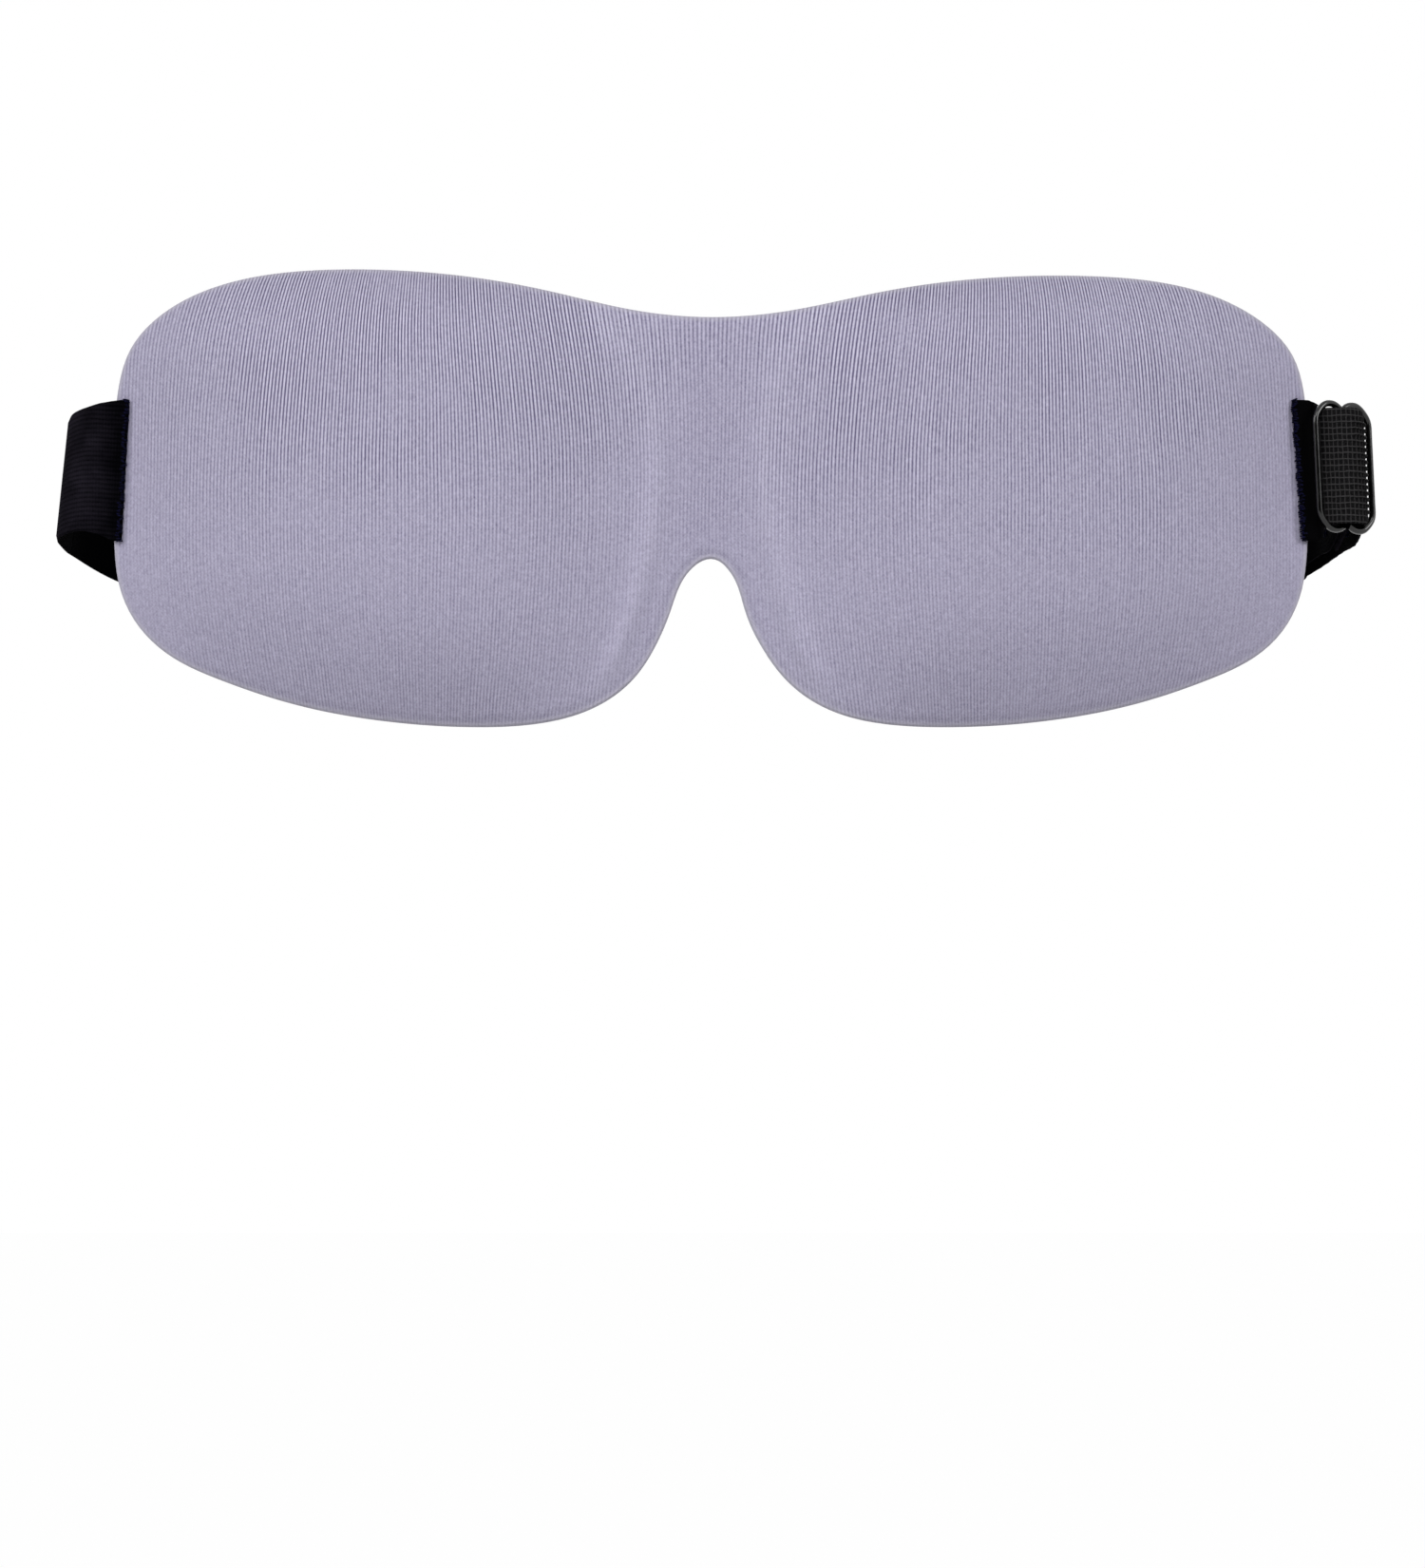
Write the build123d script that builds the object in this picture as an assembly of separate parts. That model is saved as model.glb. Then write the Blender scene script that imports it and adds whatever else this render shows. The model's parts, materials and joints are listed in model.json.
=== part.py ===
from build123d import *
import math
import os

# A contoured sleep eye mask with an elastic head strap. Millimetres, as worn: +Z up, the front
# towards -Y, and the origin in the middle of the back face at the nose bridge.

# ---------------------------------------------------------------- the mask
half_width = 109.6            # from the middle to each side edge
lobe_top_x = 68.0             # where each lobe is highest
lobe_top_z = 41.4
bridge_top_z = 32.3           # the dip of the top edge over the nose
lobe_bottom_x = 43.0          # where each lobe is lowest
lobe_bottom_z = -41.5
notch_top_z = -11.2           # the top of the nose notch
side_z = 4.0                  # height of the widest place
corner_in = 15.6              # how far in the upper corner starts to turn down
corner_drop = 4.0
shoulder_in = 3.1             # a second place on the upper corner
shoulder_z = 27.9
heel_in = 2.6                 # the lower corner
heel_z = -20.5
sole_in = 15.6
sole_rise = 10.8
notch_foot_x = 21.0           # where the notch begins to open at its foot
notch_foot_rise = 3.4
notch_mid_x = 10.4
notch_mid_z = -27.7
notch_neck_x = 5.2
notch_neck_z = -15.8
bridge_side_x = 30.0          # the top edge between the dip and the lobe
bridge_side_z = 37.3

sweep_back = 14.0             # how far the side edges lie behind the middle
base_thick = 3.0              # pressed thickness of the laminate, at the edge and the bridge
skin = 0.8                    # cover and lining, each
cup_margin = 4.6              # from the cup's outer end to the side edge
cup_z = -1.0
cup_wide = 49.5               # half sizes of the cup's ellipsoid
cup_high = 40.0
cup_deep = 17.0
cup_sunk = 5.0                # how far the ellipsoid's middle lies behind the front face
eye_x = 47.0                  # middle of each eye hollow, in the back
eye_z = 0.0
eye_wide = 30.0
eye_high = 22.0
eye_deep = 10.5

# ---------------------------------------------------------------- the strap
strap_wide = 20.8
gathered_wide = 19.0          # where the webbing is drawn together round the slider's middle bar
strap_thick = 1.0
strap_z = 5.8                 # middle height of the strap's sewn ends
left_end_wide = 22.4          # the sewn ends spread under their stitches
right_end_wide = 24.6
end_lap = 3.4                 # how far each sewn end laps onto the front of the mask
end_out = 0.7                 # how far it goes on past the side edge
seat_gap = 0.15               # the sewn ends lie this far off the curved front face
hinge_gap = 0.3               # between a sewn end and the free strap
fold_radius = 11.5            # of the strap's bend round the left side
side_run = 20.0               # the straight stretch on each side
corner_radius = 45.0          # of the two rear corners
corner_turn = 70.0            # degrees
rear_drop = 1.0               # degrees that the strap hangs down towards the back
tail_run = 40.0               # length of the right strap behind the slider
hem_run = 9.0                 # of the tail that is folded double
loop_run = 14.0               # of the left strap's end that is folded back

# ---------------------------------------------------------------- the slider
wire = 1.4                    # thickness of the coated wire
slot_play = 0.25              # between the strap's edges and the slider's ends
bar_reach = 6.0               # from the middle bar to each side bar
slider_yaw = 40.0             # degrees that the slider faces outwards
bar_off_edge = 1.6            # from the end of the right strap's sewn end to the near bar
notch_in = 1.0                # depth of the dip where the two rings meet
notch_half = 2.0
ring_round = 1.0              # corner radius of the wire's middle line
web_gap = 0.25                # between layers of webbing, and between webbing and bar
under_bar = 2.2               # from the near bar's middle to the middle of the strap behind it

# ---------------------------------------------------------------- the thread
thread = 0.5
tack_pitch = 1.7              # from one cross stitch of a sewn end to the next
tack_wide = 2.3
tack_lean = 10.0              # degrees, each way in turn
thread_off = 0.06             # from the webbing to the thread on it
hem_stitch_count = 6
loop_stitch_count = 5

back_radius = (half_width**2 + sweep_back**2) / (2 * sweep_back)
front_radius = back_radius + base_thick
cup_x = half_width - cup_margin - cup_wide
cup_turn = math.degrees(math.asin(cup_x / front_radius))
deep = 200.0                  # longer than anything that is cut with it


def place(solid, x=0.0, y=0.0, z=0.0):
    return Pos(x, y, z) * solid


def front_y(x):
    """Front face of the flat laminate at x, outside the cups."""
    return back_radius - math.sqrt(front_radius**2 - x**2)


def back_y(x):
    return back_radius - math.sqrt(back_radius**2 - x**2)


def outline_prism():
    half = [
        (0, bridge_top_z),
        (bridge_side_x, bridge_side_z),
        (lobe_top_x, lobe_top_z),
        (half_width - corner_in, lobe_top_z - corner_drop),
        (half_width - shoulder_in, shoulder_z),
        (half_width, side_z),
        (half_width - heel_in, heel_z),
        (half_width - sole_in, lobe_bottom_z + sole_rise),
        (lobe_bottom_x, lobe_bottom_z),
        (notch_foot_x, lobe_bottom_z + notch_foot_rise),
        (notch_mid_x, notch_mid_z),
        (notch_neck_x, notch_neck_z),
        (0, notch_top_z),
    ]
    right = Spline(half, tangents=[(1, 0), (-1, 0)])
    middle = Line((0, notch_top_z), (0, bridge_top_z))
    face = make_face([right, middle])
    prism = extrude(Plane.XZ * face, amount=deep / 2, both=True)
    return prism + mirror(prism, about=Plane.YZ)


def ellipsoid(x, y, z, wide, depth, high, turn=0.0):
    return place(Rot(0, 0, turn) * scale(Sphere(1), by=(wide, depth, high)), x, y, z)


def behind_front(inset):
    """Everything behind the front face, moved back by inset."""
    body = place(Cylinder(front_radius - inset, deep), 0, back_radius)
    y = front_y(cup_x) + cup_sunk
    sizes = (cup_wide - inset, cup_deep - inset, cup_high - inset)
    for side in (-1, 1):
        body += ellipsoid(side * cup_x, y, cup_z, *sizes, turn=side * cup_turn)
    return body


def behind_back(outset):
    """Everything behind the back face, moved forward by outset."""
    body = place(Cylinder(back_radius + outset, deep), 0, back_radius)
    y = back_y(eye_x)
    for side in (-1, 1):
        body += ellipsoid(side * eye_x, y, eye_z, eye_wide + outset, eye_deep + outset, eye_high + outset)
    return body


def mask_layers():
    prism = outline_prism()
    cover_inside = prism & behind_front(skin)
    lining_front = prism & behind_back(skin)
    cover = (prism & behind_front(0)) - cover_inside
    foam = cover_inside - lining_front
    lining = lining_front - (prism & behind_back(0))
    return cover, foam, lining


def band(path, high=strap_wide, thick=strap_thick):
    """Webbing that stands on edge along a flat path."""
    start = path @ 0
    along = path % 0
    plane = Plane(origin=start, x_dir=(0, 0, 1), z_dir=along)
    return sweep(plane * Rectangle(high, thick), path=path)


def bearing(turn):
    return math.cos(math.radians(turn)), math.sin(math.radians(turn))


# The sewn ends lie along the front face at its slope beside the edge.
end_slope = math.degrees(math.asin(half_width / front_radius))
end_stand_off = seat_gap + strap_thick / 2
lap_x = half_width - end_lap
end_x = half_width + end_out
lap_y = front_y(half_width) - math.tan(math.radians(end_slope)) * end_lap - end_stand_off
end_y = lap_y + math.tan(math.radians(end_slope)) * (end_lap + end_out)
free_x = end_x + hinge_gap
free_y = end_y + math.tan(math.radians(end_slope)) * hinge_gap
swing_axis = (0, free_y, strap_z)


def sewn_end(side, wide):
    path = Line((side * lap_x, lap_y), (side * end_x, end_y))
    return place(band(path, wide), z=strap_z)


def sewn_end_stitches(side, wide):
    """A column of cross stitches on the outer face of a sewn end."""
    count = int((wide - 2 * thread) / tack_pitch) + 1
    along = tack_wide / 2 + thread
    x = side * (lap_x + along)
    off = (strap_thick + thread) / 2 + thread_off
    y = lap_y + math.tan(math.radians(end_slope)) * along - off / math.cos(math.radians(end_slope))
    group = []
    for i in range(count):
        lean = tack_lean if i % 2 else -tack_lean
        z = strap_z + (i - (count - 1) / 2) * tack_pitch
        stitch = Rot(0, 0, side * end_slope) * Rot(0, lean, 0) * Box(tack_wide, thread, thread)
        group.append(place(stitch, x, y, z))
    return Compound(children=group)


def hang(shape):
    """Turns a level piece of the strap about the line through its sewn ends."""
    pivot = Pos(*swing_axis)
    return pivot * Rot(-rear_drop, 0, 0) * pivot.inverse() * shape


# The slider's middle bar, and its three bars across the flat of the frame.
yaw_x, yaw_y = bearing(slider_yaw)
bar_x = free_x + bar_off_edge - hinge_gap + bar_reach * yaw_x
bar_y = free_y - under_bar + bar_reach * yaw_y
loop_radius = wire / 2 + web_gap + strap_thick / 2
over_radius = loop_radius + strap_thick + web_gap
side_end_y = bar_y + side_run


def right_strap():
    """From the sewn end, behind the near bar, over the middle bar, and straight back."""
    away_x = bar_x - free_x
    away_y = bar_y - free_y
    reach = math.hypot(away_x, away_y)
    heading = math.atan2(away_y, away_x) - math.asin(over_radius / reach)
    touch = heading - math.pi / 2
    rest = (bar_x + over_radius * math.cos(touch), bar_y + over_radius * math.sin(touch))
    lead = Line((free_x, free_y), rest)
    arc = CenterArc((bar_x, bar_y), over_radius, math.degrees(touch), -math.degrees(touch))
    tail = Line((bar_x + over_radius, bar_y), (bar_x + over_radius, bar_y + tail_run))
    webbing = band(Wire([lead, arc]), gathered_wide) + band(tail)
    x = bar_x + over_radius + strap_thick
    y = bar_y + tail_run - hem_run / 2
    hem = place(Box(strap_thick, hem_run, strap_wide), x, y)
    return hang(place(webbing + hem, z=strap_z))


def hem_stitches():
    group = []
    x = bar_x + over_radius + 1.5 * strap_thick + thread / 2 + thread_off
    y = bar_y + tail_run - hem_run + 3 * thread
    pitch = strap_wide / (hem_stitch_count + 1)
    for i in range(hem_stitch_count):
        z = strap_z + (i - (hem_stitch_count - 1) / 2) * pitch
        group.append(place(Box(thread, thread, pitch * 0.6), x, y, z))
    return hang(Compound(children=group))


def left_strap():
    """From the left sewn end, round behind the head, to the loop on the slider's middle bar."""
    slope = math.radians(end_slope)
    fold_x = -free_x + fold_radius * math.sin(slope)
    fold_y = free_y + fold_radius * math.cos(slope)
    start_angle = 270 - end_slope
    bend = CenterArc((fold_x, fold_y), fold_radius, start_angle, -(90 - end_slope))
    left_x = fold_x - fold_radius
    inner_x = bar_x - loop_radius
    half_span = (inner_x - left_x) / 2
    middle_x = (inner_x + left_x) / 2
    turn = math.radians(corner_turn)
    corner_x = half_span - corner_radius * (1 - math.cos(turn))
    rear_radius = corner_x / math.cos(turn)
    corner_y = side_end_y + corner_radius * math.sin(turn)
    left_side = Line((left_x, fold_y), (left_x, side_end_y))
    left_corner = CenterArc(
        (left_x + corner_radius, side_end_y), corner_radius, 180, -corner_turn
    )
    rear_y = corner_y - rear_radius * math.sin(turn)
    rear = CenterArc((middle_x, rear_y), rear_radius, 180 - corner_turn, 2 * corner_turn - 180)
    right_corner = CenterArc(
        (inner_x - corner_radius, side_end_y), corner_radius, corner_turn, -corner_turn
    )
    wide_y = bar_y + loop_run
    right_side = Line((inner_x, side_end_y), (inner_x, wide_y))
    run = Wire([bend, left_side, left_corner, rear, right_corner, right_side])
    inner = Line((inner_x, wide_y), (inner_x, bar_y))
    loop = CenterArc((bar_x, bar_y), loop_radius, 180, 180)
    back = Line((bar_x + loop_radius, bar_y), (bar_x + loop_radius, wide_y))
    webbing = band(run) + band(Wire([inner, loop, back]), gathered_wide)
    return hang(place(webbing, z=strap_z))


def loop_stitches():
    """Two rows of thread through the gap of the folded end."""
    gap = 2 * loop_radius - strap_thick
    group = []
    pitch = gathered_wide / (loop_stitch_count + 1)
    for i in range(loop_stitch_count):
        z = strap_z + (i - (loop_stitch_count - 1) / 2) * pitch
        for from_end in (3 * thread, 8 * thread):
            stitch = Rot(0, 90, 0) * Cylinder(thread / 2, gap - 2 * thread_off)
            group.append(place(stitch, bar_x, bar_y + loop_run - from_end, z))
    return hang(Compound(children=group))


def slider():
    """Two rings of coated wire side by side, with the middle bar between them."""
    high = strap_wide / 2 + slot_play + wire / 2
    side = bar_reach
    corners = [
        (0, high - notch_in),
        (notch_half, high),
        (side, high),
        (side, -high),
        (notch_half, -high),
        (0, -high + notch_in),
        (-notch_half, -high),
        (-side, -high),
        (-side, high),
        (-notch_half, high),
    ]
    middle = FilletPolyline(*corners, close=True, radius=ring_round)
    outer = make_face(offset(middle, amount=wire / 2, kind=Kind.ARC))
    inner = make_face(offset(middle, amount=-wire / 2, kind=Kind.ARC))
    frame = extrude(Plane.XZ * (outer - inner), amount=wire / 2, both=True)
    frame += Cylinder(wire / 2, 2 * (high - notch_in))
    return hang(place(Rot(0, 0, slider_yaw) * frame, bar_x, bar_y, strap_z))


def save(name, shape):
    export_step(shape, f"parts/{name}.step")


os.makedirs("parts", exist_ok=True)
cover, foam, lining = mask_layers()
save("outer_cover", cover)
save("foam_core", foam)
save("inner_lining", lining)
save("left_strap_end", sewn_end(-1, left_end_wide))
save("right_strap_end", sewn_end(1, right_end_wide))
save("left_end_stitching", sewn_end_stitches(-1, left_end_wide))
save("right_end_stitching", sewn_end_stitches(1, right_end_wide))
save("left_strap", left_strap())
save("right_strap", right_strap())
save("loop_stitching", loop_stitches())
save("hem_stitching", hem_stitches())
save("slider", slider())
pivot = Pos(*swing_axis)
bar_middle = (pivot * Rot(-rear_drop, 0, 0) * pivot.inverse() * Pos(bar_x, bar_y, strap_z)).position
bar_way = (Rot(-rear_drop, 0, 0) * Pos(0, 0, 1)).position
print("swing axis at", swing_axis)
print("middle bar at", bar_middle, "along", bar_way)
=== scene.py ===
import json
import math

import bmesh
import bpy
import numpy as np
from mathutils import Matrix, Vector


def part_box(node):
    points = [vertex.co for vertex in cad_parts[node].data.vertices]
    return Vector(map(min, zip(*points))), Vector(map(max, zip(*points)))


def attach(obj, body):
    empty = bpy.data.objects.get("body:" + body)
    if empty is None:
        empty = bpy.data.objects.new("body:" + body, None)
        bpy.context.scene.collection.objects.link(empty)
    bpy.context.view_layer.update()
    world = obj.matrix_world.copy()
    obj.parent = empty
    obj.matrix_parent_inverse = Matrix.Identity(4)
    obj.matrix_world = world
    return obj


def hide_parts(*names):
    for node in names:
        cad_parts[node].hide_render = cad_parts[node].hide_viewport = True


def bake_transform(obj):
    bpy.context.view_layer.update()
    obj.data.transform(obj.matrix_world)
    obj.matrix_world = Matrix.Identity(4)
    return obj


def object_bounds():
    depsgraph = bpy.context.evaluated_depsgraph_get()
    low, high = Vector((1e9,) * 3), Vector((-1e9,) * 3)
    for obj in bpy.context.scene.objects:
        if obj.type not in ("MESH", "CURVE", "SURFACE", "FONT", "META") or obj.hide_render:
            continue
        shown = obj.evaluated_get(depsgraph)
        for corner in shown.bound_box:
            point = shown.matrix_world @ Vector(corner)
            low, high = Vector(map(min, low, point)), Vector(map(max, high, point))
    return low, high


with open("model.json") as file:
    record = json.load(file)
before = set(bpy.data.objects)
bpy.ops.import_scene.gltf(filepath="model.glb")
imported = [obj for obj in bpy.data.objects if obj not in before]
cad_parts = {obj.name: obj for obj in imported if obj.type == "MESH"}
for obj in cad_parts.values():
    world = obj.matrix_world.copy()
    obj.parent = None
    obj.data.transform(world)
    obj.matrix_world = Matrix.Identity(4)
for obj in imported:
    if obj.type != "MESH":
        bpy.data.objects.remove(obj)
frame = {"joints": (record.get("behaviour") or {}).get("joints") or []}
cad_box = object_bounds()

# A contoured sleep mask: jersey cover, foam, lining, elastic straps and a coated wire slider.
# Every length below is in metres.
MM = 0.001
CM_PER_M = 100            # the weave's and the rim's coordinates are in centimetres

# The flat laminate, which sweeps back at both sides.
cover_low, cover_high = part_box("outer_cover")
HALF_WIDTH = (cover_high[0] - cover_low[0]) / 2
SWEEP_BACK = 14.0 * MM
BASE_THICK = 3.0 * MM
SKIN = 0.8 * MM           # the cover and the lining
STRAP_Z = 6.3 * MM        # height of the straps' middle
BACK_RADIUS = (HALF_WIDTH**2 + SWEEP_BACK**2) / (2 * SWEEP_BACK)
FRONT_RADIUS = BACK_RADIUS + BASE_THICK

# The moulded cups.
CUP_RISE = 12.0 * MM
CUP_FOOT = 0.12           # share of the rise that is left over the nose
BRIDGE_HALF = 7.0 * MM
SHOULDER = 46.0 * MM      # where each cup has its full height
TOP_SOFT = 10.0 * MM      # how gently the cups rise from the top, the bottom and the sides
LOW_SOFT = 18.0 * MM
END_SOFT = 22.0 * MM
SEAT_WIDE = 3.6 * MM      # flat places at the sides, where the straps are sewn on
SEAT_HIGH = 17.0 * MM

# The soft ridge on each side of the nose, which runs outwards above and below.
RIDGE_RISE = 0.95 * MM
RIDGE_WIDE = 2.3 * MM
RIDGE_LEVEL = 8 * MM      # the height where it comes nearest to the middle
RIDGE_AWAY = 9.6 * MM     # how far from the middle it lies there
FLARE_UP = 16.0           # how fast it runs outwards, in metres for each square metre of height
FLARE_DOWN = 5.2

# The hollows for the eyes.
EYE_X = 47.0 * MM
EYE_WIDE = 30.0 * MM
EYE_HIGH = 22.0 * MM
EYE_DEEP = 10.5 * MM
EYE_POWER = 0.75          # below 1 the hollows have a flat floor
EYE_ROUNDING = 0.02
EYE_REACH = 1.6           # where the hollows end, as a share of their size squared

# The pressed edge.
LIP_WIDE = 1.3 * MM
LIP_STEP = 0.3 * MM


# ------------------------------------------------------------------ helpers for shapes

def smooth_step(x, low, high):
    t = np.clip((x - low) / (high - low), 0, 1)
    return t * t * (3 - 2 * t)


def ease(x, low, high):
    """The same step for a single number."""
    return float(smooth_step(np.array([x]), low, high)[0])


def unit(vectors):
    return vectors / np.linalg.norm(vectors, axis=1)[:, None]


def step_lengths(line):
    return np.linalg.norm(np.diff(line, axis=0), axis=1)


def distances(line):
    """How far along the line each of its points lies."""
    return np.concatenate([[0], np.cumsum(step_lengths(line))])


def closed_course(line):
    """Which way a closed line runs at each of its points."""
    return np.roll(line, -1, axis=0) - np.roll(line, 1, axis=0)


def edge_normals(line):
    """Directions square to a closed flat line."""
    course = closed_course(line)
    return unit(np.stack([-course[:, 1], course[:, 0]], axis=1))


def resample(line, count):
    along = distances(line)
    at = np.linspace(0, along[-1], count)
    return np.stack([np.interp(at, along, line[:, k]) for k in range(line.shape[1])], axis=1)


def closed_spline(points, samples):
    """A smooth closed curve through the points, with evenly spaced samples."""
    p = np.array(points, float)
    n = len(p)
    step = np.linalg.norm(np.roll(p, -1, axis=0) - p, axis=1)
    matrix = np.zeros((n, n))
    right = np.zeros((n, 2))
    for i in range(n):
        before, after = step[i - 1], step[i]
        matrix[i, i - 1] += before
        matrix[i, i] += 2 * (before + after)
        matrix[i, (i + 1) % n] += after
        right[i] = 6 * ((p[(i + 1) % n] - p[i]) / after - (p[i] - p[i - 1]) / before)
    bend = np.linalg.solve(matrix, right)
    per_span = 80
    dense = []
    for i in range(n):
        j, h = (i + 1) % n, step[i]
        t = np.linspace(0, h, per_span, endpoint=False)[:, None]
        a, b = (h - t) / h, t / h
        dense.append(a * p[i] + b * p[j] + ((a**3 - a) * bend[i] + (b**3 - b) * bend[j]) * h * h / 6)
    line = np.concatenate(dense + [dense[0][:1]])
    return resample(line, samples + 1)[:-1]


def add_object(name, data):
    obj = bpy.data.objects.new(name, data)
    bpy.context.scene.collection.objects.link(obj)
    return obj


def shade_smooth(mesh):
    mesh.polygons.foreach_set("use_smooth", [True] * len(mesh.polygons))


def new_mesh(name, points, faces):
    mesh = bpy.data.meshes.new(name)
    mesh.from_pydata([tuple(p) for p in points], [], faces)
    mesh.validate()
    return add_object(name, mesh)


def tidy_mesh(obj, distance):
    """Joins doubled points and turns every face outwards."""
    b = bmesh.new()
    b.from_mesh(obj.data)
    bmesh.ops.remove_doubles(b, verts=b.verts, dist=distance)
    bmesh.ops.dissolve_degenerate(b, dist=distance, edges=b.edges)
    bmesh.ops.recalc_face_normals(b, faces=b.faces)
    b.to_mesh(obj.data)
    b.free()
    shade_smooth(obj.data)


def join_pieces(name, pieces):
    """One object from several, which are used up."""
    b = bmesh.new()
    for piece in pieces:
        part = piece.data
        b.from_mesh(part)
        bpy.data.objects.remove(piece)
        bpy.data.meshes.remove(part)
    mesh = bpy.data.meshes.new(name)
    b.to_mesh(mesh)
    b.free()
    shade_smooth(mesh)
    return add_object(name, mesh)


# ------------------------------------------------------------------ the mask's outline and surfaces

# The right half of the edge, in millimetres, from the top of the middle round to the nose.
HALF_OUTLINE = [
    (0, 32.4), (15, 33.9), (30, 37.4), (48, 40.5), (68, 41.7), (82, 40.9), (94, 37.9), (101, 34.1),
    (106.5, 28.3), (109.1, 19.7), (109.8, 6), (109.6, -8), (108.5, -16.0), (105.0, -23.0), (98.8, -28.6),
    (90.4, -32.6), (75.5, -37.5), (60, -40.4), (42, -41.6), (31, -40.9), (21, -37.9), (14.4, -33.0),
    (10.2, -26.9), (7.2, -20.2), (4.3, -14.0), (0, -11.3),
]
EDGE_SAMPLES = 1600
TOP_SLUMP = 1.2 * MM      # the right lobe's top is this much lower
LOW_SHIFT = 0.8 * MM      # both lobes hang a little to the right
LEFT_SHARE = 0.55         # share of that shift on the left
NOSE_PINCH = 1.75 * MM    # the right lobe runs steeper beside the nose


def outline(samples):
    """The mask's edge, a little uneven from left to right."""
    right = [(x * MM, z * MM) for x, z in HALF_OUTLINE]
    left = [(-x, z) for x, z in reversed(right[1:-1])]
    scale = HALF_WIDTH / max(x for x, _ in right)
    line = closed_spline([(x * scale, z) for x, z in right + left], samples)
    x, z = line[:, 0], line[:, 1]
    slump = TOP_SLUMP * smooth_step(x, -5 * MM, 75 * MM) * smooth_step(z, 15 * MM, 38 * MM)
    shift = np.where(x < 0, LEFT_SHARE, 1.0) * LOW_SHIFT * smooth_step(-z, 12 * MM, 36 * MM)
    beside_nose = smooth_step(x, 0, 4 * MM) * (1 - smooth_step(x, 25 * MM, 55 * MM))
    shift = shift - NOSE_PINCH * beside_nose * smooth_step(-z, 6 * MM, 26 * MM)
    return line + np.stack([shift, -slump], axis=1)


EDGE = outline(EDGE_SAMPLES)


def edge_distance(x, z, batch=2000):
    """How far each point lies inside the outline."""
    out = np.empty(len(x))
    for i in range(0, len(x), batch):
        dx = x[i:i + batch, None] - EDGE[None, :, 0]
        dz = z[i:i + batch, None] - EDGE[None, :, 1]
        out[i:i + batch] = np.sqrt((dx * dx + dz * dz).min(axis=1))
    return out


def base_front(x):
    return BACK_RADIUS - np.sqrt(FRONT_RADIUS**2 - x**2)


def base_back(x):
    return BACK_RADIUS - np.sqrt(BACK_RADIUS**2 - x**2)


def edge_line(upper):
    """The top or the bottom edge as heights over X."""
    split = EDGE[np.argmax(EDGE[:, 0]), 1]
    pick = EDGE[EDGE[:, 1] > split] if upper else EDGE[EDGE[:, 1] <= split]
    order = np.argsort(pick[:, 0])
    return pick[order, 0], pick[order, 1]


TOP_LINE = edge_line(True)
LOW_LINE = edge_line(False)


def ridge_place(z):
    """How far from the middle the soft ridge beside the nose lies at each height."""
    away = z - RIDGE_LEVEL
    return RIDGE_AWAY + np.where(away > 0, FLARE_UP, FLARE_DOWN) * away * away


def cup_rise(x, z, edge):
    """Height of the moulded cups above the flat laminate."""
    top = np.interp(x, *TOP_LINE)
    low = np.interp(x, *LOW_LINE)
    puff = np.tanh(np.clip(top - z, 0, 1) / TOP_SOFT) * np.tanh(np.clip(z - low, 0, 1) / LOW_SOFT)
    reach = HALF_WIDTH - SEAT_WIDE * np.exp(-((z - STRAP_Z) / SEAT_HIGH)**4)
    ends = np.tanh(np.clip(reach - np.abs(x), 0, 1) / END_SOFT)
    nose = CUP_FOOT + (1 - CUP_FOOT) * smooth_step(np.abs(x), BRIDGE_HALF, SHOULDER)
    ridge = RIDGE_RISE * np.exp(-((np.abs(x) - ridge_place(z)) / RIDGE_WIDE)**2)
    return CUP_RISE * puff * ends * nose + ridge * smooth_step(edge, 1 * MM, 6 * MM)


def eye_hollow(x, z):
    """Depth of the hollows for the eyes."""
    away = ((np.abs(x) - EYE_X) / EYE_WIDE)**2 + (z / EYE_HIGH)**2
    inside = 1 - away
    bowl = ((inside + np.sqrt(inside * inside + EYE_ROUNDING)) / 2)**EYE_POWER
    return EYE_DEEP * bowl * (away < EYE_REACH) * smooth_step(EYE_REACH - away, 0, 0.5)


def front_face(x, z, edge):
    lip = LIP_STEP * (1 - smooth_step(edge, LIP_WIDE * 0.5, LIP_WIDE * 1.6))
    return base_front(x) - cup_rise(x, z, edge) + lip


def back_face(x, z, edge):
    return base_back(x) - eye_hollow(x, z) * smooth_step(edge, 2 * MM, 9 * MM)


STATIONS = 260            # points along the top and along the bottom
FAN = 56                  # points round each side
RINGS = 46
EDGE_SHARES = [1, 0.996, 0.991, 0.984, 0.975, 0.963]    # finer rings near the edge
INNER_SHARE = 0.955       # the other rings lie inside this share
SPINE_HALF = 62.0 * MM    # the line that the rings close in on
SPINE_ARCH = 11 * MM
SPINE_ARCH_HALF = 17 * MM


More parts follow.
